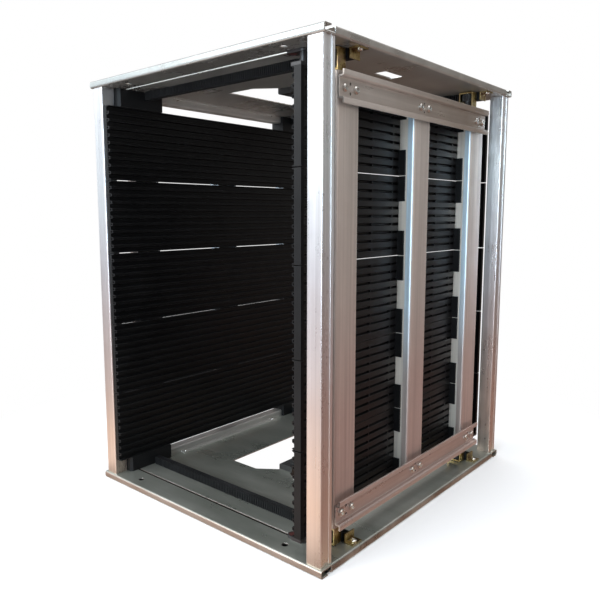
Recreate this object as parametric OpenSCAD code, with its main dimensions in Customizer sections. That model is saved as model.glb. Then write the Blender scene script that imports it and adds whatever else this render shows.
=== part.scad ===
// Adjustable magazine rack for printed circuit boards.
// Two sheet-metal plates and four posts carry a fixed wall on the left and a sliding wall on the
// right. Five moulded guides on each wall hold the board edges. The sliding wall runs on four
// toothed racks, and two upright shafts with pinions keep its top and bottom edges in step.
// Origin: middle of the footprint, on the surface that the rack stands on. +X right, +Y rear, +Z up.

/* [Frame] */
// Width over the plates, left to right
overall_w = 400; // [380:1:460]
// Depth over the plates, front to rear
overall_d = 460; // [450:1:500]
// Height of each plate's turned edge, sheet included
plate_h = 9; // [8:0.5:14]
// Thickness of the plates' sheet
sheet_t = 1.5; // [1.2:0.1:2]
// Width of the lip that each edge is turned back to
lip_w = 12; // [8:0.5:12.5]
// Centreline radius of the plates' bends
plate_bend_r = 1.8; // [1.4:0.1:2.4]
// Length left without a turned edge at each plate corner, along the sides
corner_relief = 19; // [15:1:30]
// Side of the square posts
post_s = 20; // [18:0.5:22]
// Distance from the plates' edges to the posts
post_inset = 3; // [2.5:0.5:5]
// Wall thickness of the post extrusion
post_wall = 1.8; // [1.5:0.1:2.4]
// Width of the shallow groove in each post's outer side
post_groove_w = 9; // [6:0.5:11]
// Depth of that groove
post_groove_d = 0.8; // [0.4:0.1:1]

/* [Plate openings] */
// Diameter of the four fixing holes in each plate
hole_d = 8; // [6:0.5:9]
// Distance from the plates' side edges to the fixing holes
hole_inset_x = 65; // [50:1:80]
// Distance from the plates' front and rear edges to the fixing holes
hole_inset_y = 17; // [16:0.5:20]
// Width of the bridge between the two large cut-outs, which is also the carrying bar
bridge_w = 20; // [16:1:30]
// Width of each large cut-out
cutout_w = 76; // [50:1:90]
// Depth of each large cut-out, front to rear
cutout_d = 156; // [120:1:200]
// Chamfer of the cut-outs' inner corners, left to right
cutout_chamfer_x = 28; // [10:1:40]
// Chamfer of the cut-outs' inner corners, front to rear
cutout_chamfer_y = 21; // [10:1:40]
// Width of the small window on the right of each plate
window_w = 18; // [12:1:22]
// Length of the small window, front to rear
window_d = 40; // [25:1:60]
// Distance from the plates' right edge to the small window
window_inset = 47; // [46:1:60]
// Distance of the small window in front of the middle
window_shift = 25; // [0:1:30]

/* [Board guides] */
// Number of guides stacked on each wall
guide_count = 5; // [2:1:6]
// Board slots in each guide
slot_count = 10; // [6:1:12]
// Distance between slots
slot_pitch = 10; // [9:0.5:14]
// Height of a slot at its root
slot_h = 5.2; // [4.6:0.1:5.6]
// Height of a slot at its mouth
slot_mouth_h = 6.8; // [6:0.1:7.2]
// Depth of a slot
slot_depth = 3.8; // [3:0.1:4.2]
// Thickness of the moulding behind each slot
guide_skin = 1.2; // [1:0.1:1.6]
// Gap between stacked guides
guide_gap = 1.2; // [0.6:0.1:2]
// Distance from the plates' front and rear edges to the guides
guide_inset = 5; // [4:0.5:12]
// How far the guides' end posts stand out behind them
guide_post_t = 8; // [5:0.5:10]
// Width of the guides' end posts
guide_post_w = 6; // [4:0.5:8]
// Height of the clips that hold the guides to the bars
clip_h = 31; // [20:1:40]
// How far a clip reaches along the side of a bar
clip_reach = 9; // [5:0.5:12]
// Thickness of a clip
clip_t = 2; // [1.5:0.1:2.5]

/* [Walls] */
// Space between the base plate and the walls
base_gap = 21; // [20:0.5:26]
// Space between the walls and the top plate
top_gap = 24; // [20:0.5:30]
// Width of the upright bars
bar_w = 40; // [34:1:44]
// Depth of the upright bars
bar_d = 20; // [18.5:0.5:22]
// Sheet thickness of the bars, rails and channels
bar_t = 2; // [1.5:0.1:2.5]
// Centreline radius of the bends in the bars and rails
bar_bend_r = 1.6; // [1.4:0.1:2.2]
// Distance from the plates' front and rear edges to the middles of the outer bars
bar_inset = 70; // [66:1:80]
// Distance from the left plate edge to the fixed wall's bars
fixed_inset = 8; // [8:0.5:14]
// Distance from the right plate edge to the sliding wall's bars, at its widest
slide_inset = 20; // [19:0.5:30]
// Overall height of the rails that join each wall's bars
rail_h = 34; // [32:1:40]
// Height of the rails' flat web
rail_web_h = 22; // [18:0.5:26]
// Depth of the rails
rail_d = 8; // [5:0.5:8]
// Distance between the two screws at each crossing
rail_screw_pitch = 20; // [16:0.5:22]
// Distance between the two spare holes at each crossing
rail_hole_pitch = 10; // [8:0.5:12]
// Diameter of the rail screws
rail_screw_d = 5; // [4:0.5:6]
// How far the black blocks that carry the fixed wall reach past its outer bars
block_overlap = 7; // [4:1:20]
// Height of the channels between those blocks
channel_h = 11; // [9:0.5:14]
// Width of the channels' feet
channel_foot_w = 8; // [7:0.5:10]

/* [Adjustment] */
// Travel of the sliding wall from its widest position
wall_travel = 280; // [200:1:280]
// Module of the rack and pinion teeth
gear_module = 1; // [0.8:0.05:1.05]
// Teeth on each pinion
pinion_teeth = 14; // [12:1:15]
// Width of the pinion teeth along the shaft
pinion_w = 9; // [6:0.5:10]
// Diameter of the two upright shafts
shaft_d = 8; // [6:0.5:8]
// Distance from a bar's front side to the shaft inside it
shaft_inset = 8; // [7.5:0.1:9]
// Height of the racks
rack_h = 11; // [9:0.5:12]
// Thickness of the racks behind the teeth
rack_back_t = 7.8; // [6:0.1:9]
// Width of the slots that the wall's runners slide in
runner_slot_w = 4; // [3.4:0.1:6]
// Distance from the plates' front and rear edges to the runner slots
runner_inset = 37; // [34:0.5:44]

/* [Hidden] */

$fn = 48;

// Clearances
flat_clear = 0.3;      // between flat faces that slide past each other
rack_clear = 0.5;      // between the brackets and the racks' teeth
seam = 0.02;           // overlap where two solids of one sheet are joined
screw_clear = 0.1;     // around a screw's shank, on the radius
bore_clear = 0.05;     // around a shaft in its bore, on the radius
hole_lap = 1;          // how far a hole's cutter reaches past the faces that it cuts

// Colours
zinc = [0.62, 0.62, 0.58];
alu = [0.72, 0.70, 0.68];
black = [0.10, 0.10, 0.11];
yellow_zinc = [0.66, 0.60, 0.32];
steel = [0.70, 0.70, 0.72];
bronze = [0.60, 0.45, 0.25];

// Main planes
x_left = -overall_w / 2;
x_right = overall_w / 2;
y_front = -overall_d / 2;
y_rear = overall_d / 2;
guide_h = slot_count * slot_pitch;
wall_h = guide_count * guide_h;
base_top = plate_h;
wall_base = base_top + base_gap;
wall_top = wall_base + wall_h;
top_under = wall_top + top_gap;
overall_h = top_under + plate_h;
guide_t = slot_depth + guide_skin;
guide_d = overall_d - 2 * guide_inset;
bar_pitch = overall_d / 2 - bar_inset;
bar_ys = [-bar_pitch, 0, bar_pitch];
end_bar_ys = [-bar_pitch, bar_pitch];

// Outer faces of the bars, and the rear faces of the guides that lie against them
fixed_bar_x = x_left + fixed_inset;
fixed_guide_x = fixed_bar_x + bar_d;
slide_bar_x = x_right - slide_inset;
slide_guide_x = slide_bar_x - bar_d;
fixed_guide_post_t = min(guide_post_t, fixed_guide_x - x_left - post_inset - post_s - flat_clear);

// Gears. The racks lie behind the pinions, and their teeth point forwards.
pinion_pitch_r = gear_module * pinion_teeth / 2;
pinion_tip_r = pinion_pitch_r + gear_module;
pinion_root_r = pinion_pitch_r - 1.2 * gear_module;
pinion_bore_r = shaft_d / 2 + bore_clear;
pressure_angle = 20;
backlash = 0.25 * gear_module;
rack_addendum = 0.8 * gear_module;
rack_dedendum = 1.25 * gear_module;
tooth_pitch = PI * gear_module;
shaft_x = slide_bar_x - bar_d / 2;
shaft_y = -bar_w / 2 + shaft_inset;
rack_pitch_y = shaft_y + pinion_pitch_r;
rack_tip_y = rack_pitch_y - rack_addendum;
rack_root_y = rack_pitch_y + rack_dedendum;
rack_back_y = rack_root_y + rack_back_t;
rack_start_gap = 1;
rack_end_over = 4;
rack_x0 = fixed_guide_x + guide_t + rack_start_gap;
rack_x1 = slide_bar_x + rack_end_over;
rack_len = rack_x1 - rack_x0;

// Brackets that hold the pinions
bracket_t = 1.5;
bracket_foot_t = 2;
bracket_foot_lift = 1;
bracket_d = rack_tip_y - rack_clear + bar_w / 2;
bracket_tab_h = 32;
bracket_tab_t = 2;
bracket_tab_side = 1.5;
bush_r = shaft_d / 2 + 1;
bush_flange_r = shaft_inset - bar_t - flat_clear;
bush_flange_t = 1;
pinion_lift = 0.6;
hub_step = 0.4;
hub_r = pinion_root_r - hub_step;

// Screws
post_screw_r = 3;
post_screw_len = 16;
rack_screw_r = 2;
rack_screw_depth = rack_h - 4;
rack_screw_margin = 28;
block_screw_r = 2.5;
block_screw_depth = 12;
block_screw_dys = [-12, 12];
foot_screw_r = 1.5;
foot_screw_margin = 6;
rail_screw_r = rail_screw_d / 2;
rail_screw_len = 3 * bar_t;
tongue_screw_len = 2 * bar_t + 8;
spare_hole_r = 1.75;

// Grips around the plates' bridges
grip_w = bridge_w + 4;
grip_len = 110;
grip_out_h = 8;
grip_in_h = 5;
grip_round = 2.4;

// Runners
runner_y = y_front + runner_inset;
runner_reach = 15;
runner_x = slide_guide_x - runner_reach;
runner_slot_end = 30;
runner_slot_over = 3;
runner_slot_x0 = x_left + runner_slot_end;
runner_slot_x1 = runner_x + runner_slot_over;
runner_pin_r = runner_slot_w / 2 - flat_clear;
runner_head_lip = 2.3;
runner_head_t = 2.5;
runner_shoe_r = 6.2;
runner_shoe_len = 14.5;
runner_shoe_t = 3;
runner_peg_r = 4;
runner_lug_t = 3;
runner_lug_w = 12;
runner_head_r = runner_pin_r + runner_head_lip;

// ---------------------------------------------------------------- shared shapes

// Outline of bent sheet: the path is the centreline, with right-angled bends of radius r
function unit(v) = v / norm(v);
function left_of(v) = [-v[1], v[0]];
function turn_at(p, i) = sign(cross(unit(p[i] - p[i - 1]), unit(p[i + 1] - p[i])));
function bend_arc(p, i, s, r, n) =
  let (
    a = unit(p[i] - p[i - 1]),
    b = unit(p[i + 1] - p[i]),
    t = turn_at(p, i),
    centre = p[i] - r * a + r * b,
    start = -t * left_of(a)
  )
  [for (k = [0:n]) centre + (start * cos(90 * k / n) + a * sin(90 * k / n)) * (r - s * t)];
function sheet_side(p, s, r, n) = concat(
  [p[0] + s * left_of(unit(p[1] - p[0]))],
  [for (i = [1:len(p) - 2]) each bend_arc(p, i, s, r, n)],
  [p[len(p) - 1] + s * left_of(unit(p[len(p) - 1] - p[len(p) - 2]))]
);
function reversed(list) = [for (i = [len(list) - 1:-1:0]) list[i]];

module bent_sheet(path, t, r, n = 5) {
  polygon(concat(sheet_side(path, t / 2, r, n), reversed(sheet_side(path, -t / 2, r, n))));
}

// Rounded rectangle with its lowest corner at the origin
module round_rect(w, h, r) {
  translate([r, 0]) square([w - 2 * r, h]);
  translate([0, r]) square([w, h - 2 * r]);
  for (x = [r, w - r], y = [r, h - r]) translate([x, y]) circle(r);
}

// Extrudes along +X, with the profile's x as +Y and its y as +Z
module along_x(length) {
  rotate([90, 0, 90]) linear_extrude(length) children();
}

// Extrudes along +Y from the profile's plane, with the profile's x as +X and its y as +Z
module along_y(length) {
  translate([0, length, 0]) rotate([90, 0, 0]) linear_extrude(length) children();
}

// Screw that points down from the origin, with a domed head and a hexagon socket above it
module screw(shank_r, length) {
  head_r = 1.8 * shank_r;
  head_h = 1.1 * shank_r;
  difference() {
    union() {
      cylinder(h = head_h * 0.6, r = head_r);
      translate([0, 0, head_h * 0.6]) cylinder(h = head_h * 0.4, r1 = head_r, r2 = head_r * 0.72);
      translate([0, 0, -length]) cylinder(h = length, r = shank_r);
    }
    translate([0, 0, head_h * 0.45]) cylinder(h = head_h, r = head_r * 0.5, $fn = 6);
  }
}

// Draws the same thing at the top as at the base
module base_and_top() {
  children();
  at_top() children();
}

// Turns what is drawn at the base over to the top
module at_top() {
  translate([0, 0, overall_h]) mirror([0, 0, 1]) children();
}

// ---------------------------------------------------------------- plates and posts

module plate_sheet_outline() {
  bend = plate_bend_r + sheet_t / 2;
  ear_d = corner_relief - bend;
  difference() {
    union() {
      square([overall_w - 2 * bend, overall_d - 2 * bend], center = true);
      for (s = [-1, 1])
        translate([0, s * (overall_d / 2 - bend - ear_d / 2)]) square([overall_w, ear_d], center = true);
    }
    plate_openings();
  }
}

module plate_openings() {
  window_corner_r = 2;
  for (x = [-1, 1], y = [-1, 1]) {
    translate([x * (overall_w / 2 - hole_inset_x), y * (overall_d / 2 - hole_inset_y)]) circle(d = hole_d);
    translate([x * post_centre_x, y * post_centre_y]) circle(post_screw_r + screw_clear);
  }
  for (x = [-1, 1]) scale([x, 1]) cutout();
  translate([x_right - window_inset - window_w, -window_shift - window_d / 2])
    round_rect(window_w, window_d, window_corner_r);
  for (y = [-1, 1]) {
    translate([0, y * runner_y]) runner_slot();
    translate([foot_screw_x, y * foot_screw_y]) circle(foot_screw_r + screw_clear);
  }
  for (y = end_bar_ys) {
    for (x = rack_screw_xs) translate([x, y + rack_screw_y]) circle(rack_screw_r + screw_clear);
    translate([rack_x1 + rack_clip_hole_x, y + rack_tip_y + rack_clip_w / 2])
      circle(rack_screw_r + screw_clear);
    for (dy = block_screw_dys) translate([channel_x, y + dy]) circle(block_screw_r + screw_clear);
  }
}

module cutout() {
  polygon([
    [bridge_w / 2, -cutout_d / 2 + cutout_chamfer_y],
    [bridge_w / 2 + cutout_chamfer_x, -cutout_d / 2],
    [bridge_w / 2 + cutout_w, -cutout_d / 2],
    [bridge_w / 2 + cutout_w, cutout_d / 2],
    [bridge_w / 2 + cutout_chamfer_x, cutout_d / 2],
    [bridge_w / 2, cutout_d / 2 - cutout_chamfer_y]
  ]);
}

module runner_slot() {
  translate([runner_slot_x0, -runner_slot_w / 2]) square([runner_slot_x1 - runner_slot_x0, runner_slot_w]);
  for (x = [runner_slot_x0, runner_slot_x1]) translate([x, 0]) circle(runner_slot_w / 2);
}

// Turned edge: down from the sheet and back in as a lip
module hem(length) {
  bend = plate_bend_r + sheet_t / 2;
  along_x(length) bent_sheet([
    [bend + seam, plate_h - sheet_t / 2],
    [sheet_t / 2, plate_h - sheet_t / 2],
    [sheet_t / 2, sheet_t / 2],
    [lip_w, sheet_t / 2]
  ], sheet_t, plate_bend_r);
}

module plate() {
  side_len = overall_d - 2 * corner_relief;
  translate([0, 0, plate_h - sheet_t]) linear_extrude(sheet_t) plate_sheet_outline();
  for (s = [0, 1]) mirror([0, s, 0]) translate([x_left, y_front, 0]) hem(overall_w);
  for (s = [0, 1]) mirror([s, 0, 0])
    translate([x_left, side_len / 2, 0]) rotate([0, 0, -90]) hem(side_len);
}

module base_plate() {
  color(zinc) plate();
}

module top_plate() {
  color(zinc) at_top() plate();
}

post_centre_x = overall_w / 2 - post_inset - post_s / 2;
post_centre_y = overall_d / 2 - post_inset - post_s / 2;

// Section of a post, with its grooved side towards +X
module post_section() {
  corner_r = 1.5;
  boss_wall = 1.6;
  difference() {
    translate([-post_s / 2, -post_s / 2]) round_rect(post_s, post_s, corner_r);
    translate([post_s / 2 - post_groove_d, -post_groove_w / 2]) square([2 * post_groove_d, post_groove_w]);
    difference() {
      square(post_s - 2 * post_wall, center = true);
      circle(post_screw_r + boss_wall);
      square([post_s, post_wall], center = true);
      square([post_wall, post_s], center = true);
    }
    circle(post_screw_r + screw_clear);
  }
}

module post(side_x, side_y) {
  color(alu)
    translate([side_x * post_centre_x, side_y * post_centre_y, base_top])
      linear_extrude(top_under - base_top)
        scale([side_x, 1]) post_section();
}

module post_front_left() { post(-1, -1); }
module post_front_right() { post(1, -1); }
module post_rear_left() { post(-1, 1); }
module post_rear_right() { post(1, 1); }

module post_screws() {
  color(steel) base_and_top()
    for (x = [-1, 1], y = [-1, 1])
      translate([x * post_centre_x, y * post_centre_y, plate_h - sheet_t])
        mirror([0, 0, 1]) screw(post_screw_r, post_screw_len);
}

// ---------------------------------------------------------------- carrying grips

module grip() {
  sheet_z = plate_h - sheet_t;
  notch = 2;
  notch_count = 9;
  color(black) translate([-grip_w / 2, -grip_len / 2, 0]) difference() {
    along_y(grip_len) difference() {
      translate([0, sheet_z - grip_in_h]) round_rect(grip_w, grip_in_h + sheet_t + grip_out_h, grip_round);
      translate([(grip_w - bridge_w) / 2, sheet_z]) square([bridge_w, sheet_t]);
    }
    for (i = [1:notch_count])
      translate([-hole_lap, i * grip_len / (notch_count + 1) - notch / 2, plate_h + grip_out_h - notch / 2])
        cube([grip_w + 2 * hole_lap, notch, notch]);
  }
}

module base_grip() { grip(); }
module top_grip() { at_top() grip(); }

// ---------------------------------------------------------------- racks and pinions

rack_clip_t = 1.5;
rack_clip_len = 12;
rack_clip_over = 8;
rack_clip_w = rack_back_y - rack_tip_y + rack_clip_over;
rack_clip_hole_x = (rack_clip_len + rack_clip_t) / 2;
rack_screw_y = rack_root_y + rack_back_t / 2;
rack_screw_xs = [rack_x0 + rack_screw_margin, (rack_x0 + rack_x1) / 2, rack_x1 - rack_screw_margin];

function rack_tooth(x) =
  let (
    half = tooth_pitch / 4 - backlash / 4,
    tip = half - rack_addendum * tan(pressure_angle),
    root = half + rack_dedendum * tan(pressure_angle)
  )
  [[x - root, rack_root_y], [x - tip, rack_tip_y], [x + tip, rack_tip_y], [x + root, rack_root_y]];

// Teeth are counted from the one that meshes with the pinion when the wall is at its widest
rack_first = -floor((shaft_x - rack_x0) / tooth_pitch - 0.5);
rack_last = floor((rack_x1 - shaft_x) / tooth_pitch - 0.5);

module rack(y) {
  groove = 1.4;
  groove_at = [0.25, 0.65];
  color(black) translate([0, y, base_top]) difference() {
    linear_extrude(rack_h) polygon(concat(
      [[rack_x0, rack_root_y]],
      [for (k = [rack_first:rack_last]) each rack_tooth(shaft_x + k * tooth_pitch)],
      [[rack_x1, rack_root_y], [rack_x1, rack_back_y], [rack_x0, rack_back_y]]
    ));
    for (f = groove_at)
      translate([rack_x0 - hole_lap, rack_root_y + f * rack_back_t, rack_h - groove])
        cube([rack_len + 2 * hole_lap, groove, 2 * groove]);
    for (x = rack_screw_xs)
      translate([x, rack_screw_y, -hole_lap])
        cylinder(h = rack_screw_depth + 2 * hole_lap, r = rack_screw_r + screw_clear);
  }
}

module rack_base_front() { rack(-bar_pitch); }
module rack_base_rear() { rack(bar_pitch); }
module rack_top_front() { at_top() rack(-bar_pitch); }
module rack_top_rear() { at_top() rack(bar_pitch); }

module rack_screws() {
  color(steel) base_and_top() {
    for (y = end_bar_ys, x = rack_screw_xs)
      translate([x, y + rack_screw_y, plate_h - sheet_t])
        mirror([0, 0, 1]) screw(rack_screw_r, sheet_t + rack_screw_depth);
    for (y = end_bar_ys)
      translate([rack_x1 + rack_clip_hole_x, y + rack_tip_y + rack_clip_w / 2, base_top + rack_clip_t])
        screw(rack_screw_r, rack_clip_t + sheet_t);
  }
}

// Angle at the right end of each rack, which closes it and stops the wall
module rack_end_clips() {
  color(yellow_zinc) base_and_top() for (y = end_bar_ys)
    translate([rack_x1, y + rack_tip_y, base_top]) difference() {
      union() {
        cube([rack_clip_t, rack_clip_w, rack_h]);
        cube([rack_clip_len, rack_clip_w, rack_clip_t]);
      }
      translate([rack_clip_hole_x, rack_clip_w / 2, -hole_lap])
        cylinder(h = rack_clip_t + 2 * hole_lap, r = rack_screw_r + screw_clear);
    }
}

// Involute flank of the pinion: radius from the base circle outwards
pinion_base_r = pinion_pitch_r * cos(pressure_angle);
function roll_angle(r) = sqrt(pow(max(r, pinion_base_r) / pinion_base_r, 2) - 1) * 180 / PI;
function involute_angle(r) = roll_angle(r) - atan(roll_angle(r) * PI / 180);
pinion_half_angle = (tooth_pitch / 2 - backlash / 2) / 2 / pinion_pitch_r * 180 / PI
                    + involute_angle(pinion_pitch_r);
function polar(r, a) = [r * cos(a), r * sin(a)];
function flank(side, mid) = [
  for (k = [0:4])
    let (r = pinion_root_r + (pinion_tip_r - pinion_root_r) * k / 4)
    polar(r, mid + side * (pinion_half_angle - involute_angle(r)))
];
function pinion_tooth(mid) = concat(flank(-1, mid), reversed(flank(1, mid)));

// A gap between two teeth faces the rack, towards +Y
module pinion() {
  gear_z = pinion_lift;
  hub_z = gear_z + pinion_w;
  hub_h = pinion_space_h - hub_z - pinion_lift;
  difference() {
    union() {
      translate([0, 0, gear_z]) linear_extrude(pinion_w)
        polygon([for (k = [0:pinion_teeth - 1]) each pinion_tooth(90 + (k + 0.5) * 360 / pinion_teeth)]);
      translate([0, 0, hub_z]) cylinder(h = hub_h, r = hub_r);
    }
    translate([0, 0, -hole_lap]) cylinder(h = pinion_space_h + 2 * hole_lap, r = pinion_bore_r);
  }
}

// Free height between a bracket's foot and its cap, at the base
pinion_foot_z = bracket_foot_lift + bracket_foot_t;
pinion_space_h = base_gap - pinion_foot_z - bracket_foot_t;

module pinion_at(y) {
  color([0.20, 0.19, 0.19]) translate([shaft_x, y + shaft_y, base_top + pinion_foot_z]) pinion();
}

module pinion_base_front() { pinion_at(-bar_pitch); }
module pinion_base_rear() { pinion_at(bar_pitch); }
module pinion_top_front() { at_top() pinion_at(-bar_pitch); }
module pinion_top_rear() { at_top() pinion_at(bar_pitch); }

module drive_shaft(y) {
  z0 = base_top + bracket_foot_lift;
  z1 = top_under - bracket_foot_lift;
  chamfer = 0.6;
  r = shaft_d / 2;
  color(steel) translate([shaft_x, y + shaft_y, 0]) rotate_extrude() polygon([
    [0, z0], [r - chamfer, z0], [r, z0 + chamfer], [r, z1 - chamfer], [r - chamfer, z1], [0, z1]
  ]);
}

module drive_shaft_front() { drive_shaft(-bar_pitch); }
module drive_shaft_rear() { drive_shaft(bar_pitch); }

// Bracket at the end of a bar: foot below the pinion, two legs, a cap on the bar's end and a tab
// inside the bar. Drawn for a gap of height gap between the plate and the bar.
module bracket(gap) {
  x0 = -bar_d / 2;
  y0 = -bar_w / 2;
  tab_w = bar_w - 2 * (bar_t + bracket_tab_side);
  difference() {
    union() {
      translate([x0, y0, bracket_foot_lift]) cube([bar_d, bracket_d, bracket_foot_t]);
      for (x = [x0, -x0 - bracket_t])
        translate([x, y0, bracket_foot_lift]) cube([bracket_t, bracket_d, gap - bracket_foot_lift]);
      translate([x0, y0, gap - bracket_foot_t]) cube([bar_d, bar_w, bracket_foot_t]);
      translate([-x0 - bar_t - bracket_tab_t, -tab_w / 2, gap - bracket_foot_t])
        cube([bracket_tab_t, tab_w, bracket_foot_t + bracket_tab_h]);
    }
    translate([0, shaft_y, 0]) cylinder(h = gap / 2, r = shaft_d / 2 + bore_clear);
    translate([0, shaft_y, gap / 2]) cylinder(h = gap, r = bush_r + bore_clear);
    translate([-x0, 0, 0]) crossing_holes(gap + rail_offset);
  }
}

module bracket_base(y) {
  color(yellow_zinc) translate([shaft_x, y, base_top]) bracket(base_gap);
}

module bracket_top(y) {
  color(yellow_zinc) translate([shaft_x, y, top_under]) mirror([0, 0, 1]) bracket(top_gap);
}

module bracket_base_front() { bracket_base(-bar_pitch); }
module bracket_base_rear() { bracket_base(bar_pitch); }
module bracket_top_front() { bracket_top(-bar_pitch); }
module bracket_top_rear() { bracket_top(bar_pitch); }

// Flanged bush in a bracket's cap, with its flange inside the bar
module bush(gap) {
  translate([0, 0, gap - bracket_foot_t]) difference() {
    union() {
      cylinder(h = bracket_foot_t, r = bush_r);
      translate([0, 0, bracket_foot_t]) cylinder(h = bush_flange_t, r = bush_flange_r);
    }
    translate([0, 0, -hole_lap])
      cylinder(h = bracket_foot_t + bush_flange_t + 2 * hole_lap, r = shaft_d / 2 + bore_clear);
  }
}

module shaft_bushes() {
  color(bronze) for (y = end_bar_ys) {
    translate([shaft_x, y + shaft_y, base_top]) bush(base_gap);
    translate([shaft_x, y + shaft_y, top_under]) mirror([0, 0, 1]) bush(top_gap);
  }
}

// ---------------------------------------------------------------- bars and rails

// Height of a rail's middle above the end of the bars
rail_offset = rail_h / 2;
rail_zs = [wall_base + rail_offset, wall_top - rail_offset];

// Channel section with its web on +X and its open side towards -X
module bar_section() {
  w = bar_w / 2 - bar_t / 2;
  bent_sheet([[-bar_d, -w], [-bar_t / 2, -w], [-bar_t / 2, w], [-bar_d, w]], bar_t, bar_bend_r);
}

// Two screw holes side by side, and two spare holes one above the other
module crossing_holes(z) {
  translate([-bar_d / 2, 0, z]) rotate([0, 90, 0]) {
    for (s = [-1, 1]) translate([0, s * rail_screw_pitch / 2, 0])
      cylinder(h = bar_d + rail_d, r = rail_screw_r + screw_clear);
    for (s = [-1, 1]) translate([s * rail_hole_pitch / 2, 0, 0])
      cylinder(h = bar_d + rail_d, r = spare_hole_r);
  }
}

// Rail section: a flat web on the bars, and a lip stepped outwards above and below it
module rail_section() {
  z1 = rail_web_h / 2;
  z2 = rail_h / 2;
  x0 = bar_t / 2;
  x1 = rail_d - bar_t / 2;
  bent_sheet([[x1, -z2], [x1, -z1], [x0, -z1], [x0, z1], [x1, z1], [x1, z2]], bar_t, bar_bend_r);
}

// Bar and rail of a wall whose outer side is at x = 0 and faces +X
module wall_bar(y) {
  color(alu) translate([0, y, 0]) difference() {
    translate([0, 0, wall_base]) linear_extrude(wall_h) bar_section();
    for (z = rail_zs) crossing_holes(z);
  }
}

module wall_rail(z) {
  color(alu) difference() {
    translate([0, -bar_pitch - bar_w / 2, z]) along_y(2 * bar_pitch + bar_w) rail_section();
    for (y = bar_ys) translate([0, y, 0]) crossing_holes(z);
  }
}

module rail_screw_pair(y, length) {
  for (s = [-1, 1], z = rail_zs)
    translate([bar_t, y + s * rail_screw_pitch / 2, z]) rotate([0, 90, 0]) screw(rail_screw_r, length);
}

module slide_bar(y) { translate([slide_bar_x, 0, 0]) wall_bar(y); }
module slide_rail(z) { translate([slide_bar_x, 0, 0]) wall_rail(z); }

module slide_bar_front() { slide_bar(-bar_pitch); }
module slide_bar_middle() { slide_bar(0); }
module slide_bar_rear() { slide_bar(bar_pitch); }
module slide_rail_base() { slide_rail(rail_zs[0]); }
module slide_rail_top() { slide_rail(rail_zs[1]); }

module slide_rail_screws() {
  color(steel) translate([slide_bar_x, 0, 0]) for (y = bar_ys) rail_screw_pair(y, rail_screw_len);
}

// ---------------------------------------------------------------- fixed wall

channel_x = fixed_bar_x + bar_d / 2;
block_y0 = post_inset + post_s - bar_inset;
block_d = bar_w / 2 + block_overlap - block_y0;
block_w = bar_d + guide_t;
tongue_h = rail_h;
tongue_d = bar_d - bar_t - 3;
channel_len = 2 * (bar_pitch - block_y0 - block_d);
foot_end_gap = 24;
foot_len = channel_len - 2 * foot_end_gap;
foot_screw_x = fixed_guide_x + channel_foot_w / 2;
foot_screw_y = foot_len / 2 - foot_screw_margin;

// Turns a wall's bar or rail round to the left
module on_fixed_wall() {
  translate([fixed_bar_x, 0, 0]) mirror([1, 0, 0]) children();
}

module fixed_bar_front() { on_fixed_wall() wall_bar(-bar_pitch); }
module fixed_bar_middle() { on_fixed_wall() wall_bar(0); }
module fixed_bar_rear() { on_fixed_wall() wall_bar(bar_pitch); }
module fixed_rail_base() { on_fixed_wall() wall_rail(rail_zs[0]); }
module fixed_rail_top() { on_fixed_wall() wall_rail(rail_zs[1]); }

// Channel that stands on a plate between two blocks, with a foot along its right side
module fixed_channel() {
  w = bar_d - bar_t;
  inset = bar_t / 2;
  color(alu) translate([0, 0, base_top]) difference() {
    translate([fixed_bar_x + bar_t, 0, 0]) {
      translate([0, -channel_len / 2, 0]) along_y(channel_len) bent_sheet([
        [inset, 0], [inset, channel_h - inset], [w - inset, channel_h - inset], [w - inset, 0]
      ], bar_t, bar_bend_r);
      translate([w - bar_t, -foot_len / 2, 0]) cube([bar_t + channel_foot_w, foot_len, bar_t]);
    }
    for (s = [-1, 1])
      translate([foot_screw_x, s * foot_screw_y, -hole_lap])
        cylinder(h = bar_t + 2 * hole_lap, r = foot_screw_r + screw_clear);
  }
}

module fixed_channel_base() { fixed_channel(); }
module fixed_channel_top() { at_top() fixed_channel(); }

// Moulded block between a plate and the end of a bar, with a tongue inside the bar
module fixed_block(y, side, gap) {
  chamfer = 3;
  color(black) translate([fixed_bar_x, y, 0]) scale([1, side, 1]) difference() {
    union() {
      translate([0, block_y0, 0]) linear_extrude(gap) polygon([
        [0, chamfer], [chamfer, 0], [block_w - chamfer, 0], [block_w, chamfer],
        [block_w, block_d], [0, block_d]
      ]);
      translate([bar_t + flat_clear, -bar_w / 2 + bar_t + flat_clear, gap])
        cube([tongue_d, bar_w - 2 * (bar_t + flat_clear), tongue_h]);
    }
    for (dy = block_screw_dys)
      translate([bar_d / 2, side * dy, -hole_lap])
        cylinder(h = block_screw_depth + 2 * hole_lap, r = block_screw_r + screw_clear);
    for (s = [-1, 1])
      translate([0, s * rail_screw_pitch / 2, gap + rail_offset]) rotate([0, 90, 0])
        cylinder(h = tongue_screw_len - bar_t + hole_lap, r = rail_screw_r + screw_clear);
  }
}

module fixed_block_base_front() { translate([0, 0, base_top]) fixed_block(-bar_pitch, 1, base_gap); }
module fixed_block_base_rear() { translate([0, 0, base_top]) fixed_block(bar_pitch, -1, base_gap); }
module fixed_block_top_front() {
  translate([0, 0, top_under]) mirror([0, 0, 1]) fixed_block(-bar_pitch, 1, top_gap);
}
module fixed_block_top_rear() {
  translate([0, 0, top_under]) mirror([0, 0, 1]) fixed_block(bar_pitch, -1, top_gap);
}

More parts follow.
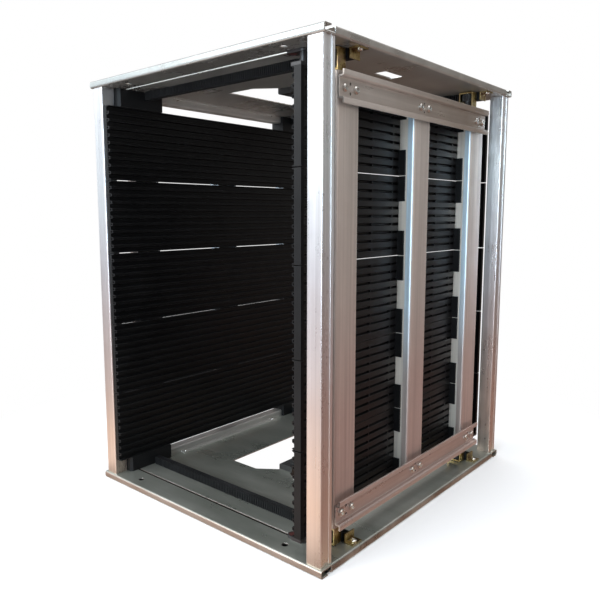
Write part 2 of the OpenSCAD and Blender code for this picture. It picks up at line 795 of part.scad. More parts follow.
module fixed_wall_screws() {
  color(steel) {
    base_and_top() {
      for (y = end_bar_ys, dy = block_screw_dys)
        translate([channel_x, y + dy, plate_h - sheet_t])
          mirror([0, 0, 1]) screw(block_screw_r, sheet_t + block_screw_depth);
      for (s = [-1, 1])
        translate([foot_screw_x, s * foot_screw_y, base_top + bar_t]) screw(foot_screw_r, bar_t + sheet_t);
    }
    on_fixed_wall() {
      for (y = end_bar_ys) rail_screw_pair(y, tongue_screw_len);
      rail_screw_pair(0, rail_screw_len);
    }
  }
}

// ---------------------------------------------------------------- board guides

// Section of a guide: x = 0 is the face on the bars, and the slots open towards -x
guide_body_h = guide_h - guide_gap;
function slot_z(k) = (k + 0.5) * slot_pitch - guide_gap / 2;
function slot_points(k) = [
  [-guide_t, slot_z(k) - slot_mouth_h / 2], [-guide_skin, slot_z(k) - slot_h / 2],
  [-guide_skin, slot_z(k) + slot_h / 2], [-guide_t, slot_z(k) + slot_mouth_h / 2]
];
rib_wall = 0.6;
rib_tip_wall = 0.9;
recess_half = (slot_pitch - slot_h) / 2 - rib_wall;
recess_root_half = (slot_pitch - slot_mouth_h) / 2 - rib_tip_wall;
function recess_points(k) =
  let (z = slot_z(k) + slot_pitch / 2)
  [[0, z + recess_half], [-slot_depth, z + recess_root_half],
   [-slot_depth, z - recess_root_half], [0, z - recess_half]];

// Section of a web that fills recess k, with its edges moved out by lap into the rib
module web_section(k, lap) {
  z = slot_z(k) + slot_pitch / 2;
  polygon([
    [0, z + recess_half + lap], [-slot_depth - lap, z + recess_root_half + lap],
    [-slot_depth - lap, z - recess_root_half - lap], [0, z - recess_half - lap]
  ]);
}

module guide_section() {
  polygon(concat(
    [[0, 0], [-guide_t, 0]],
    [for (k = [0:slot_count - 1]) each slot_points(k)],
    [[-guide_t, guide_body_h], [0, guide_body_h]],
    [for (k = [slot_count - 2:-1:0]) each recess_points(k)]
  ));
}

guide_web_at = [0.49, 0.775];
guide_web_ys = [for (bar = [-1, 0], f = guide_web_at) (bar + f) * bar_pitch];

module guide(post_t) {
  web_t = 1.4;
  web_lap = 0.3;
  lead = 1.5;
  y0 = -guide_d / 2;
  cut_x = -guide_t - hole_lap;
  translate([0, 0, guide_gap / 2]) {
    difference() {
      translate([0, y0, 0]) along_y(guide_d) guide_section();
      // Lead-in: the ribs' ends are cut back in plan, at the front and at the rear
      for (s = [0, 1]) mirror([0, s, 0]) translate([0, 0, -hole_lap])
        linear_extrude(guide_body_h + 2 * hole_lap) polygon([
          [-guide_skin, y0 - hole_lap], [-guide_skin, y0], [cut_x, y0 + lead], [cut_x, y0 - hole_lap]
        ]);
    }
    for (s = [0, 1]) mirror([0, s, 0])
      translate([-guide_skin, y0, 0]) cube([guide_skin + post_t, guide_post_w, guide_body_h]);
    for (y = guide_web_ys, k = [0:slot_count - 2])
      translate([0, y - web_t / 2, 0]) along_y(web_t) web_section(k, web_lap);
    for (y = bar_ys, s = [-1, 1], z = [0, guide_body_h - clip_h])
      translate([-guide_skin, y + s * (bar_w + clip_t) / 2 - clip_t / 2, z])
        cube([guide_skin + clip_reach, clip_t, clip_h]);
  }
}

module slide_guide(i) {
  color(black) translate([slide_guide_x, 0, wall_base + (i - 1) * guide_h]) guide(guide_post_t);
}

module fixed_guide(i) {
  color(black) translate([fixed_guide_x, 0, wall_base + (i - 1) * guide_h])
    mirror([1, 0, 0]) guide(fixed_guide_post_t);
}

// ---------------------------------------------------------------- runners

// Lug under the guides' end, a peg down to an oval shoe on the plate, and a pin through its slot
module runner(gap) {
  lift = flat_clear;
  pin_len = sheet_t + 2 * lift;
  lug_h = runner_lug_t + guide_gap / 2;
  lug_x0 = slide_guide_x - guide_t;
  lug_y0 = y_front + guide_inset - runner_y;
  translate([0, 0, gap - runner_lug_t]) {
    translate([lug_x0, lug_y0, 0]) cube([guide_t + guide_post_t, runner_lug_w / 2 - lug_y0, lug_h]);
    translate([runner_x, -runner_lug_w / 2, 0]) cube([slide_guide_x - runner_x, runner_lug_w, lug_h]);
    translate([runner_x, 0, 0]) cylinder(h = lug_h, r = runner_lug_w / 2);
  }
  translate([runner_x, 0, lift]) cylinder(h = gap - lift, r = runner_peg_r);
  translate([runner_x, 0, lift - pin_len]) cylinder(h = pin_len, r = runner_pin_r);
  translate([runner_x, 0, lift - pin_len - runner_head_t]) cylinder(h = runner_head_t, r = runner_head_r);
  translate([0, 0, lift]) {
    for (x = [runner_x - runner_shoe_len, runner_x])
      translate([x, 0, 0]) cylinder(h = runner_shoe_t, r = runner_shoe_r);
    translate([runner_x - runner_shoe_len, -runner_shoe_r, 0])
      cube([runner_shoe_len, 2 * runner_shoe_r, runner_shoe_t]);
  }
}

module runner_base(side) {
  color(black) scale([1, side, 1]) translate([0, runner_y, base_top]) runner(base_gap);
}

module runner_top(side) {
  color(black) scale([1, side, 1])
    translate([0, runner_y, top_under]) mirror([0, 0, 1]) runner(top_gap);
}

module runner_base_front() { runner_base(1); }
module runner_base_rear() { runner_base(-1); }
module runner_top_front() { runner_top(1); }
module runner_top_rear() { runner_top(-1); }

// ---------------------------------------------------------------- the assembly

base_plate();
top_plate();
post_front_left();
post_front_right();
post_rear_left();
post_rear_right();
post_screws();
base_grip();
top_grip();
rack_base_front();
rack_base_rear();
rack_top_front();
rack_top_rear();
rack_end_clips();
rack_screws();
fixed_bar_front();
fixed_bar_middle();
fixed_bar_rear();
fixed_block_base_front();
fixed_block_base_rear();
fixed_block_top_front();
fixed_block_top_rear();
fixed_rail_base();
fixed_rail_top();
fixed_channel_base();
fixed_channel_top();
fixed_wall_screws();
fixed_guide(1);  // fixed_guide_1
fixed_guide(2);  // fixed_guide_2
fixed_guide(3);  // fixed_guide_3
fixed_guide(4);  // fixed_guide_4
fixed_guide(5);  // fixed_guide_5
slide_bar_front();
slide_bar_middle();
slide_bar_rear();
slide_rail_base();
slide_rail_top();
slide_rail_screws();
slide_guide(1);  // slide_guide_1
slide_guide(2);  // slide_guide_2
slide_guide(3);  // slide_guide_3
slide_guide(4);  // slide_guide_4
slide_guide(5);  // slide_guide_5
bracket_base_front();
bracket_base_rear();
bracket_top_front();
bracket_top_rear();
runner_base_front();
runner_base_rear();
runner_top_front();
runner_top_rear();
shaft_bushes();
drive_shaft_front();
pinion_base_front();
pinion_top_front();
drive_shaft_rear();
pinion_base_rear();
pinion_top_rear();
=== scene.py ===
import math

import bpy
from mathutils import Matrix, Vector


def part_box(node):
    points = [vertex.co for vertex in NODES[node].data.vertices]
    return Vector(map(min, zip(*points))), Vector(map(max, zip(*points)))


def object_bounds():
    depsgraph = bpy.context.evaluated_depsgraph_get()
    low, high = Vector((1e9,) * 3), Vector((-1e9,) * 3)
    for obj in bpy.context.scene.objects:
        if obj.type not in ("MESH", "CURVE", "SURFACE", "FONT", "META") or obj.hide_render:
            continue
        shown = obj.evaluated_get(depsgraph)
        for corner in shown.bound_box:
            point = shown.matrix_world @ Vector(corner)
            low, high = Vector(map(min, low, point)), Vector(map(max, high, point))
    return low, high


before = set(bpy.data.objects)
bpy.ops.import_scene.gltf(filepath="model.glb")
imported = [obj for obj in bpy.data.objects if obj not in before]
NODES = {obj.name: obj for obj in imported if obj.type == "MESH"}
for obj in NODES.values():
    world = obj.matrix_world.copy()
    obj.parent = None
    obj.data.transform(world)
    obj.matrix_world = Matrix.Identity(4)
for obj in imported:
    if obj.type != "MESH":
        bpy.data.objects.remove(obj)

# Finishes of the rack's parts, the studio round it and the camera. All lengths are in metres.
CAD_BOX = [list(v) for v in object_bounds()]
LO, HI = Vector(CAD_BOX[0]), Vector(CAD_BOX[1])


# ---------------------------------------------------------------- node helpers

class Tree:
    """Short names for building one node tree."""

    def __init__(self, tree, coords="Object"):
        self.tree = tree
        tree.nodes.clear()
        self.coords = self.new("ShaderNodeTexCoord").outputs[coords]

    def new(self, kind, **attrs):
        node = self.tree.nodes.new(kind)
        for key, value in attrs.items():
            setattr(node, key, value)
        return node

    def link(self, a, b):
        self.tree.links.new(a, b)

    def put(self, socket, value):
        """Feed a socket from another node, or set it to a number or an RGB colour."""
        if hasattr(value, "links"):
            self.link(value, socket)
        else:
            socket.default_value = (*value, 1.0) if isinstance(value, tuple) else value

    def math(self, op, a, b=0.0, c=0.0, clamp=False):
        node = self.new("ShaderNodeMath", operation=op, use_clamp=clamp)
        for socket, value in zip(node.inputs, (a, b, c)):
            self.put(socket, value)
        return node.outputs[0]

    def plus(self, a, b):
        return self.math("ADD", a, b)

    def times(self, a, b):
        return self.math("MULTIPLY", a, b)

    def vector(self, op, a, b=None):
        """Vector maths: a number for DOT_PRODUCT and LENGTH, a vector otherwise."""
        node = self.new("ShaderNodeVectorMath", operation=op)
        self.link(a, node.inputs[0])
        if hasattr(b, "links"):
            self.link(b, node.inputs[1])
        elif b is not None:
            node.inputs[1].default_value = b
        return node.outputs["Value" if op in ("DOT_PRODUCT", "LENGTH") else "Vector"]

    def axis(self, which, vector=None):
        """One part of a vector, which is the position unless another is given."""
        node = self.new("ShaderNodeSeparateXYZ")
        self.link(vector or self.coords, node.inputs[0])
        return node.outputs[which]

    def normal(self):
        return self.new("ShaderNodeNewGeometry").outputs["Normal"]

    def span(self, value, a, b, c=0.0, d=1.0, smooth=False):
        """Maps a to c and b to d, and stays level outside them."""
        node = self.new("ShaderNodeMapRange", interpolation_type="SMOOTHSTEP" if smooth else "LINEAR")
        self.link(value, node.inputs["Value"])
        for key, v in (("From Min", a), ("From Max", b), ("To Min", c), ("To Max", d)):
            node.inputs[key].default_value = v
        return node.outputs[0]

    def ease(self, value, a, b):
        """Rises smoothly from 0 at a to 1 at b."""
        return self.span(value, a, b, smooth=True)

    def ramp(self, value, stops):
        node = self.new("ShaderNodeValToRGB")
        elements = node.color_ramp.elements
        while len(elements) < len(stops):
            elements.new(0.5)
        for element, (position, colour) in zip(elements, stops):
            element.position = position
            element.color = (*colour, 1.0)
        self.link(value, node.inputs[0])
        return node.outputs[0]

    def mix(self, fac, a, b, mode="MIX"):
        node = self.new("ShaderNodeMix", data_type="RGBA", blend_type=mode)
        for index, value in ((0, fac), (6, a), (7, b)):
            self.put(node.inputs[index], value)
        return node.outputs[2]

    def blend(self, fac, a, b):
        """Shader a where fac is 0, and b where it is 1."""
        node = self.new("ShaderNodeMixShader")
        for socket, value in zip(node.inputs, (fac, a, b)):
            self.link(value, socket)
        return node.outputs[0]

    def glow(self, kind, colour):
        """A light-giving shader of strength 1."""
        node = self.new(kind)
        self.put(node.inputs["Color"], colour)
        node.inputs["Strength"].default_value = 1.0
        return node.outputs[0]


class Finish(Tree):
    """A material around one Principled shader."""

    def __init__(self, name):
        self.mat = bpy.data.materials.new(name)
        self.mat.use_nodes = True
        super().__init__(self.mat.node_tree)
        self.bsdf = self.new("ShaderNodeBsdfPrincipled")
        self.link(self.bsdf.outputs[0], self.new("ShaderNodeOutputMaterial").inputs[0])

    def scaled(self, scale, shift=(0, 0, 0)):
        node = self.new("ShaderNodeMapping")
        self.link(self.coords, node.inputs["Vector"])
        node.inputs["Scale"].default_value = scale
        node.inputs["Location"].default_value = shift
        return node.outputs[0]

    def noise(self, scale, detail=3.0, rough=0.55, stretch=(1, 1, 1), shift=(0, 0, 0)):
        node = self.new("ShaderNodeTexNoise")
        self.link(self.scaled(stretch, shift), node.inputs["Vector"])
        for key, value in (("Scale", scale), ("Detail", detail), ("Roughness", rough)):
            node.inputs[key].default_value = value
        return node.outputs["Fac"]

    def cells(self, scale):
        node = self.new("ShaderNodeTexVoronoi")
        self.link(self.scaled((1, 1, 1)), node.inputs["Vector"])
        node.inputs["Scale"].default_value = scale
        return node.outputs["Color"]

    def facing(self, axis, sign):
        """1 where the surface looks along the axis on the side of sign, 0 elsewhere."""
        return self.span(self.axis(axis, self.normal()), 0.6 * sign, 0.9 * sign)

    def edges(self, radius):
        """Rounded normal, and how near an edge the surface is, from 0 to 1."""
        bevel = self.new("ShaderNodeBevel", samples=4)
        bevel.inputs["Radius"].default_value = radius
        along = self.vector("DOT_PRODUCT", bevel.outputs[0], self.normal())
        return bevel.outputs[0], self.span(along, 1.0, 0.86)

    def bump(self, height, distance, strength, normal):
        node = self.new("ShaderNodeBump")
        node.inputs["Strength"].default_value = strength
        node.inputs["Distance"].default_value = distance
        self.link(height, node.inputs["Height"])
        self.link(normal, node.inputs["Normal"])
        return node.outputs[0]

    def set(self, **values):
        """Feeds the shader's inputs, with _ for a space in their names."""
        for key, value in values.items():
            self.put(self.bsdf.inputs[key.replace("_", " ")], value)
        return self


# ---------------------------------------------------------------- kinds of finish

FRONT = (1, -1)    # the axis and the sign of faces that look forwards, and to the right
RIGHT = (0, 1)
FLANK_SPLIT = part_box("slide_guide_1")[1].x + 0.0015    # painted light on the bars' forward flanks: cooler beyond the guides' tabs, near white inside them
FLANK_FADE = 0.001


def shade(colour, factor):
    return tuple(min(1.0, factor * c) for c in colour)


def bare_metal(name, stops, grain, rough, edge, mottle=0.10, streak=0.16, bump=0.00004, metallic=0.7,
               flank=None, rear=None):
    """Metal with a drawn grain: stops run from the foot to the top of the rack, and paint a reflection that
    changes with height.

    flank holds the stops of the painted light on faces that look forwards, and rear the tint of the rear end.
    """
    g = Finish(name)
    height = g.span(g.axis(2), LO.z, HI.z)
    drift = g.math("SUBTRACT", g.noise(9.0, 2.0, 0.5), 0.5)
    place = g.math("MULTIPLY_ADD", drift, 0.22, height, clamp=True)
    # The height ramp paints a reflection: warm floor low down, pale room higher up
    col = g.ramp(place, stops)
    # Painted light: faces that look forwards take a near-white tone up to FLANK_SPLIT and the painted flank
    # reflection beyond it
    if flank:
        beyond = g.span(g.math("ABSOLUTE", g.axis(0)), FLANK_SPLIT, FLANK_SPLIT + FLANK_FADE)
        flank_light = g.mix(beyond, (0.98, 0.90, 0.80), g.ramp(place, flank))
        col = g.mix(g.facing(*FRONT), col, flank_light)
    # Darker towards the rear end
    if rear:
        col = g.mix(g.span(g.axis(1), LO.y * 0.8, HI.y * 0.6), col, rear)
    dark = g.mix(1.0, col, (0.70, 0.69, 0.68), "MULTIPLY")
    light = g.mix(1.0, col, (1.16, 1.16, 1.16), "MULTIPLY")
    # Drawn lines, cloudy stains and dark specks
    fine = g.noise(1.0, 5.0, 0.6, stretch=grain)
    broad = g.noise(1.0, 3.0, 0.55, stretch=tuple(0.22 * s for s in grain), shift=(3.1, 1.7, 5.3))
    lines = g.plus(g.times(fine, 0.55), g.times(broad, 0.45))
    cloud = g.noise(26.0, 4.0, 0.6, shift=(7.0, 2.0, 0.4))
    speck = g.noise(420.0, 2.0, 0.5, shift=(1.0, 9.0, 4.0))
    base = g.mix(g.span(lines, 0.36, 0.64, 0.5 - 2.4 * streak, 0.5 + 2.4 * streak), dark, light)
    base = g.mix(g.span(cloud, 0.35, 0.68, 0.0, mottle * 2.2), base, dark)
    base = g.mix(g.span(speck, 0.70, 0.76, 0.0, 0.30), base, dark)
    # Edges painted brighter: partly rubbed wear, partly a painted highlight
    rounded, near = g.edges(0.0007)
    base = g.mix(g.times(near, g.span(cloud, 0.30, 0.60, 0.45, 1.0)), base, edge)
    along_lines = g.span(lines, 0.3, 0.7, rough - 0.07, rough + 0.08)
    roughness = g.plus(along_lines, g.span(cloud, 0.3, 0.7, -0.04, 0.07))
    normal = g.bump(lines, bump, 0.9, rounded)
    return g.set(Base_Color=base, Metallic=metallic, Roughness=roughness, Normal=normal)


def plate_metal(name, plain, deep, edge, front, side, rough=0.27, metallic=0.78):
    """Galvanised sheet; front and side are the tones of the hems that look forwards and to the right: a
    painted reflection on the front hems and a painted shade on the side hems.
    """
    g = Finish(name)
    cells = g.cells(95.0)
    cloud = g.noise(7.0, 4.0, 0.58, shift=(2.0, 4.0, 1.0))
    base = g.mix(g.span(cloud, 0.32, 0.68), deep, plain)
    # Painted light: hems that look forwards take a painted reflection, hems that look right a painted shade
    base = g.mix(g.facing(*FRONT), base, front)
    base = g.mix(g.facing(*RIGHT), base, side)
    # Spangle, wiped smears, scratches and specks
    smear = g.noise(1.0, 4.0, 0.6, stretch=(7.0, 30.0, 30.0))
    scratch = g.noise(1.0, 2.0, 0.4, stretch=(26.0, 620.0, 620.0), shift=(0.4, 0.9, 0.0))
    speck = g.noise(300.0, 3.0, 0.6, shift=(5.0, 2.0, 8.0))
    base = g.mix(g.times(g.axis(0, cells), 0.16), base, deep)
    base = g.mix(g.span(smear, 0.40, 0.72, 0.0, 0.35), base, edge)
    base = g.mix(g.span(scratch, 0.71, 0.75, 0.0, 0.45), base, edge)
    base = g.mix(g.span(speck, 0.70, 0.78, 0.0, 0.45), base, shade(deep, 0.5))
    # Edges painted brighter: partly wear, partly a painted highlight
    rounded, near = g.edges(0.0006)
    base = g.mix(g.times(near, 0.8), base, edge)
    in_clouds = g.span(cloud, 0.3, 0.7, rough - 0.06, rough + 0.09)
    roughness = g.plus(in_clouds, g.span(smear, 0.3, 0.7, -0.03, 0.08))
    normal = g.bump(g.plus(g.times(cells, 0.3), cloud), 0.00012, 0.5, rounded)
    return g.set(Base_Color=base, Metallic=metallic, Roughness=roughness, Normal=normal)


def moulded(name, col, edge, rough=0.42, grain=900.0, dust=0.25, flow=(1, 1, 1), level=0.5):
    """Moulded black plastic: fine spark texture, flow lines, dust on what faces up."""
    g = Finish(name)
    fine = g.noise(grain, 2.0, 0.5)
    flows = g.noise(1.0, 3.0, 0.5, stretch=flow)
    cloud = g.noise(30.0, 4.0, 0.6, shift=(2.0, 6.0, 1.0))
    base = g.mix(g.span(flows, 0.38, 0.66, 0.0, 0.55), col, shade(col, 1.5))
    on_top = g.span(g.axis(2, g.normal()), 0.55, 0.95, 0.0, dust)
    dusty = g.times(on_top, g.span(cloud, 0.36, 0.66, 0.1, 1.0))
    grey = tuple(c * 3.2 + 0.012 for c in col)
    base = g.mix(dusty, base, grey)
    # Edges painted lighter: a painted highlight on the ridges
    rounded, near = g.edges(0.0005)
    base = g.mix(g.times(near, g.span(cloud, 0.35, 0.65, 0.25, 0.8)), base, edge)
    roughness = g.plus(g.span(cloud, 0.3, 0.7, rough - 0.08, rough + 0.08), g.times(dusty, 0.5))
    normal = g.bump(g.plus(fine, g.times(flows, 0.6)), 0.00003, 0.6, rounded)
    g.bsdf.inputs["Specular IOR Level"].default_value = level
    return g.set(Base_Color=base, Roughness=roughness, Normal=normal)


def plated(name, tones, rough=0.3, scale=60.0):
    """Yellow zinc plating: bands of brass, olive and brown."""
    g = Finish(name)
    fine = g.noise(scale * 7, 3.0, 0.6, shift=(3.0, 1.0, 2.0))
    bands = g.plus(g.times(g.noise(scale), 0.8), g.times(fine, 0.2))
    # Edges painted brighter: partly wear, partly a painted highlight
    rounded, near = g.edges(0.0004)
    base = g.mix(g.times(near, 0.6), g.ramp(g.span(bands, 0.34, 0.66), tones), (0.80, 0.72, 0.48))
    roughness = g.span(fine, 0.3, 0.7, rough - 0.06, rough + 0.10)
    normal = g.bump(fine, 0.00003, 0.5, rounded)
    return g.set(Base_Color=base, Metallic=1.0, Roughness=roughness, Normal=normal)


def bright_metal(name, col, rough, ring=240.0):
    """Small turned or plated parts."""
    g = Finish(name)
    fine = g.noise(1.0, 3.0, 0.55, stretch=(ring * 3, ring * 3, ring))
    cloud = g.noise(ring, 3.0, 0.6, shift=(1.0, 2.0, 3.0))
    base = g.mix(g.span(cloud, 0.35, 0.68, 0.0, 0.55), col, shade(col, 0.62))
    base = g.mix(g.span(fine, 0.55, 0.75, 0.0, 0.4), base, shade(col, 1.2))
    # Edges painted brighter: partly wear, partly a painted highlight
    rounded, near = g.edges(0.0004)
    base = g.mix(g.times(near, 0.5), base, shade(col, 1.25))
    roughness = g.span(cloud, 0.3, 0.7, rough - 0.05, rough + 0.09)
    normal = g.bump(fine, 0.00002, 0.5, rounded)
    return g.set(Base_Color=base, Metallic=1.0, Roughness=roughness, Normal=normal)


# ---------------------------------------------------------------- the parts' finishes

ENDS = ["base_front", "base_rear", "top_front", "top_rear"]
WALLS = ("fixed", "slide")


def dress(finish, *names):
    for name in names:
        obj = NODES[name]
        obj.data.materials.clear()
        obj.data.materials.append(finish.mat)


# Tones are pairs of a height, from 0 at the foot to 1 at the top, and a colour; the warm low tones and pale
# high tones are a painted reflection of the warm floor and the bright room
POST_TONES = [(0.0, (0.70, 0.58, 0.50)), (0.14, (0.70, 0.55, 0.46)), (0.34, (0.62, 0.53, 0.50)),
              (0.55, (0.65, 0.63, 0.65)), (0.78, (0.76, 0.79, 0.80)), (1.0, (0.82, 0.82, 0.84))]
BAR_TONES = [(0.0, (0.52, 0.40, 0.36)), (0.28, (0.56, 0.44, 0.40)),
             (0.5, (0.58, 0.50, 0.46)), (1.0, (0.60, 0.55, 0.51))]
# Painted reflection on the bars' forward flanks: warm floor low down, pale blue higher up
LIT_FLANK_TONES = [(0.0, (0.50, 0.38, 0.33)), (0.28, (0.54, 0.47, 0.44)),
              (0.48, (0.72, 0.86, 0.96)), (1.0, (0.70, 0.84, 0.94))]
CHANNEL_TONES = [(0.0, (0.62, 0.60, 0.57)), (1.0, (0.62, 0.60, 0.57))]
# Grains are drawn along Z on the uprights and along Y on the rails
POST_GRAIN = (260.0, 260.0, 3.0)
BAR_GRAIN = (210.0, 210.0, 3.5)
RAIL_GRAIN = (210.0, 3.5, 210.0)
BAR_EDGE = (0.82, 0.80, 0.77)
RAIL_EDGE = (0.86, 0.84, 0.80)

dress(bare_metal("post_aluminium", POST_TONES, POST_GRAIN, 0.30, (0.93, 0.92, 0.90),
                 mottle=0.05, streak=0.12, metallic=0.85),
      "post_front_left", "post_front_right", "post_rear_left", "post_rear_right")
dress(bare_metal("bar_aluminium", BAR_TONES, BAR_GRAIN, 0.36, BAR_EDGE),
      *[wall + "_bar_front" for wall in WALLS])
dress(bare_metal("bar_aluminium_lit_flank", BAR_TONES, BAR_GRAIN, 0.36, BAR_EDGE, flank=LIT_FLANK_TONES),
      *[wall + end for wall in WALLS for end in ("_bar_middle", "_bar_rear")])
dress(bare_metal("rail_aluminium", BAR_TONES, RAIL_GRAIN, 0.32, RAIL_EDGE, mottle=0.16),
      "slide_rail_base", "fixed_rail_base", "fixed_rail_top")
# The sliding wall's top rail darkens towards its rear end
dress(bare_metal("rail_aluminium_dark_rear", BAR_TONES, RAIL_GRAIN, 0.32, RAIL_EDGE, mottle=0.16,
                 rear=(0.32, 0.25, 0.20)), "slide_rail_top")
dress(bare_metal("channel_aluminium", CHANNEL_TONES, RAIL_GRAIN, 0.34, RAIL_EDGE),
      "fixed_channel_base", "fixed_channel_top")

dress(plate_metal("galvanised_sheet", (0.47, 0.49, 0.44), (0.34, 0.36, 0.31), (0.72, 0.70, 0.66),
                  front=(0.44, 0.34, 0.285), side=(0.17, 0.125, 0.105)), "base_plate")
# A darker, browner copy of the same sheet for the top plate: painted shade and a painted brown reflection on
# its underside
dress(plate_metal("galvanised_sheet_warm", (0.45, 0.41, 0.37), (0.32, 0.28, 0.25), (0.68, 0.65, 0.61),
                  front=(0.50, 0.54, 0.53), side=(0.35, 0.325, 0.295)), "top_plate")

dress(moulded("guide_plastic", (0.0035, 0.0035, 0.0038), (0.030, 0.030, 0.032), 0.40,
              dust=0.20, flow=(30.0, 9.0, 60.0), level=0.24),
      *["%s_guide_%d" % (wall, i) for wall in WALLS for i in range(1, 6)])
dress(moulded("block_plastic", (0.0065, 0.0065, 0.007), (0.045, 0.045, 0.047), 0.45, level=0.25),
      *["fixed_block_" + end for end in ENDS])
dress(moulded("rack_plastic", (0.0055, 0.0055, 0.006), (0.060, 0.060, 0.062), 0.42,
              dust=0.28, flow=(9.0, 60.0, 60.0), level=0.26),
      *["rack_" + end for end in ENDS])
dress(moulded("grip_plastic", (0.012, 0.012, 0.012), (0.05, 0.05, 0.05), 0.55, grain=600.0, dust=0.4),
      "base_grip", "top_grip")
dress(moulded("pinion_plastic", (0.030, 0.027, 0.026), (0.11, 0.10, 0.09)),
      *["pinion_" + end for end in ENDS])

# The runners' round buttons are dark red: coloured by the distance from each button's middle
BUTTON_R = 0.0062
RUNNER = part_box("runner_base_front")
g = moulded("runner_plastic", (0.013, 0.012, 0.013), (0.06, 0.058, 0.058), 0.38)
dx = g.math("SUBTRACT", g.axis(0), RUNNER[0].x + BUTTON_R)
dy = g.math("SUBTRACT", g.math("ABSOLUTE", g.axis(1)), BUTTON_R - RUNNER[1].y)
from_middle = g.math("SQRT", g.plus(g.times(dx, dx), g.times(dy, dy)))
black = g.bsdf.inputs["Base Color"].links[0].from_socket
red = g.mix(g.noise(90.0), (0.040, 0.008, 0.007), (0.075, 0.015, 0.012))
on_button = g.span(from_middle, BUTTON_R * 0.72, BUTTON_R * 0.80, 1.0, 0.0)
dress(g.set(Base_Color=g.mix(on_button, black, red)), *["runner_" + end for end in ENDS])

ZINC_TONES = [(0.0, (0.14, 0.085, 0.04)), (0.35, (0.29, 0.21, 0.085)), (0.6, (0.44, 0.35, 0.16)),
              (0.82, (0.37, 0.26, 0.16)), (1.0, (0.21, 0.17, 0.08))]
dress(plated("yellow_zinc", ZINC_TONES), "rack_end_clips", *["bracket_" + end for end in ENDS])
dress(bright_metal("screw_steel", (0.72, 0.71, 0.67), 0.24),
      "post_screws", "rack_screws", "fixed_wall_screws", "slide_rail_screws")
dress(bright_metal("shaft_steel", (0.66, 0.66, 0.67), 0.20, 120.0), "drive_shaft_front", "drive_shaft_rear")
dress(bright_metal("bush_bronze", (0.58, 0.42, 0.22), 0.34), "shaft_bushes")


# ---------------------------------------------------------------- floor

TO_FRONT_LEFT = (-0.62, -0.78, 0.0)
TO_REAR_LEFT = (-0.78, 0.62, 0.0)
FLOOR_R = 9.0    # half the floor's side
FLOOR_DROP = 0.0004    # keeps the floor's face off the rack's feet
CONTACT_SHADE = (0.012, 0.058)    # where the shade at the rack's foot starts to fade, and where it ends
UNDER_INSET = 0.004    # the dark floor stops this far inside the rack's outline
CUTOUT_REACH = 0.112    # half the side of the square of floor that the plates' cut-outs show
PALE_FROM, PALE_TO = 0.40, 0.62    # the floor turns pure white between these distances

floor_mesh = bpy.data.meshes.new("floor")
corners = [(x * FLOOR_R, y * FLOOR_R, 0) for x, y in ((-1, -1), (1, -1), (1, 1), (-1, 1))]
floor_mesh.from_pydata(corners, [], [(0, 1, 2, 3)])
floor = bpy.data.objects.new("floor", floor_mesh)
bpy.context.scene.collection.objects.link(floor)
floor.location.z = LO.z - FLOOR_DROP
floor_mat = bpy.data.materials.new("floor")
floor_mat.use_nodes = True

f = Tree(floor_mat.node_tree)
away = f.vector("LENGTH", f.coords)
unit = f.vector("NORMALIZE", f.coords)
ax = f.math("ABSOLUTE", f.axis(0))
ay = f.math("ABSOLUTE", f.axis(1))

# What polished metal sees of the floor, a painted reflection that glows for glossy rays: warm near the rack,
# pale at the front left, brown behind it
front_left = f.mix(f.ease(away, 0.35, 1.1), (1.20, 0.97, 0.84), (0.80, 0.72, 0.72))
front_left = f.mix(f.ease(away, 1.3, 3.2), front_left, (0.88, 0.88, 0.93))
right_rear = f.mix(f.ease(away, 0.5, 2.2), (0.32, 0.165, 0.13), (0.29, 0.24, 0.21))
seen = f.mix(f.ease(f.vector("DOT_PRODUCT", unit, TO_FRONT_LEFT), -0.1, 0.6), right_rear, front_left)
seen = f.mix(f.ease(f.vector("DOT_PRODUCT", unit, TO_REAR_LEFT), 0.05, 0.55), seen, (0.12, 0.082, 0.062))
# Close to the foot of the rack the floor lies in its contact shade
outside = f.math("MAXIMUM", f.math("SUBTRACT", ax, HI.x), f.math("SUBTRACT", ay, HI.y))
seen = f.mix(f.ease(outside, *CONTACT_SHADE), (0.46, 0.31, 0.22), seen)
# Under the rack the floor is painted dark, a painted shade, except below the two large openings, where light
# comes through
under = f.times(f.math("LESS_THAN", ax, HI.x - UNDER_INSET), f.math("LESS_THAN", ay, HI.y - UNDER_INSET))
lit = f.times(f.math("LESS_THAN", ax, CUTOUT_REACH), f.math("LESS_THAN", ay, CUTOUT_REACH))
dark = f.times(under, f.math("SUBTRACT", 1.0, lit))
seen = f.mix(dark, seen, (0.006, 0.006, 0.006))

# What the camera sees of it: white paper that takes the rack's shadow
paper = f.new("ShaderNodeBsdfDiffuse")
paper.inputs["Color"].default_value = (0.93, 0.93, 0.93, 1.0)
paper = paper.outputs[0]
white = f.glow("ShaderNodeEmission", (1.0, 1.0, 1.0))
shown = f.blend(f.ease(away, PALE_FROM, PALE_TO), paper, white)
shown = f.blend(f.times(under, lit), shown, white)
# The camera sees that painted shade through the rack's holes as a near-black glow
shown = f.blend(dark, shown, f.glow("ShaderNodeEmission", (0.004, 0.004, 0.004)))
path = f.new("ShaderNodeLightPath").outputs
surface = f.blend(path["Is Camera Ray"], paper, shown)
# Glossy rays see the floor glow in these colours: a painted reflection
surface = f.blend(path["Is Glossy Ray"], surface, f.glow("ShaderNodeEmission", seen))
f.link(surface, f.new("ShaderNodeOutputMaterial").inputs[0])
floor_mesh.materials.append(floor_mat)


# ---------------------------------------------------------------- world and lights

# From the rear right, at 0, to the front left, at 1
ROOM_TONES = [(0.0, (0.27, 0.26, 0.25)), (0.40, (0.22, 0.20, 0.19)),
              (0.70, (0.40, 0.46, 0.54)), (0.95, (0.74, 0.78, 0.85))]
WINDOW = (1.5, 1.55, 1.6)
CEILING = (0.85, 0.88, 0.92)

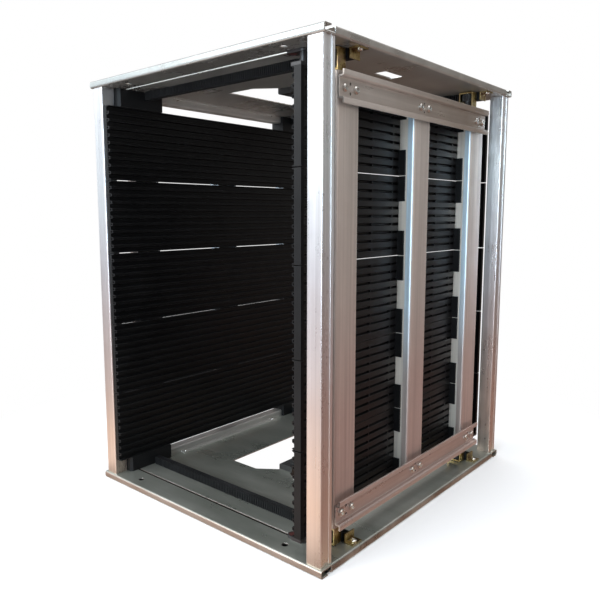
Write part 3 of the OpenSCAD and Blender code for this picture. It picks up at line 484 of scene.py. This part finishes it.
world = bpy.data.worlds.new("studio")
bpy.context.scene.world = world
world.use_nodes = True
w = Tree(world.node_tree, "Generated")
facing = w.math("MULTIPLY_ADD", w.vector("DOT_PRODUCT", w.coords, TO_FRONT_LEFT), 0.5, 0.5)
height = w.vector("DOT_PRODUCT", w.coords, (0, 0, 1))
room = w.ramp(facing, ROOM_TONES)
room = w.mix(w.times(w.ease(height, 0.08, 0.38), w.ease(facing, 0.6, 0.95)), room, WINDOW)
room = w.mix(w.times(w.ease(height, 0.25, 0.75), 0.6), room, CEILING)
sky = w.blend(w.new("ShaderNodeLightPath").outputs["Is Camera Ray"],
              w.glow("ShaderNodeBackground", room),
              w.glow("ShaderNodeBackground", (1.0, 1.0, 1.0)))
w.link(sky, w.new("ShaderNodeOutputWorld").inputs[0])


def area(name, place, target, size, power, colour):
    data = bpy.data.lights.new(name, "AREA")
    data.shape = "RECTANGLE"
    data.size, data.size_y = size
    data.energy = power
    data.color = colour
    obj = bpy.data.objects.new(name, data)
    bpy.context.scene.collection.objects.link(obj)
    obj.location = place
    obj.rotation_euler = (Vector(target) - Vector(place)).to_track_quat("-Z", "Y").to_euler()


area("key", (-0.9, -2.6, 1.7), (0, 0, 0.3), (2.2, 1.8), 60.0, (0.97, 0.99, 1.0))
area("flange", (0.62, -2.6, 0.55), (0.17, 0, 0.3), (0.5, 1.4), 52.0, (0.70, 0.87, 1.0))
area("top", (0.3, 0.1, 2.4), (0, 0, 0), (2.6, 2.6), 42.0, (1.0, 1.0, 1.0))
area("side", (2.4, 0.4, 1.1), (0, 0, 0.25), (1.8, 1.6), 9.0, (1.0, 0.93, 0.87))


# ---------------------------------------------------------------- camera

EYE = Vector((0.57245, -0.71834, 0.38143))
YAW, PITCH, ROLL = -0.7267, 0.1258, -0.004

cam_data = bpy.data.cameras.new("camera")
cam_data.lens = 37.355
cam_data.shift_x = 0.0399
cam_data.shift_y = -0.0098
cam_data.clip_start = 0.02
cam = bpy.data.objects.new("camera", cam_data)
bpy.context.scene.collection.objects.link(cam)
cam.matrix_world = (Matrix.Translation(EYE) @ Matrix.Rotation(-YAW, 4, "Z")
                    @ Matrix.Rotation(math.pi / 2 - PITCH, 4, "X") @ Matrix.Rotation(ROLL, 4, "Z"))
bpy.context.scene.camera = cam
bpy.context.scene.view_settings.view_transform = "Standard"
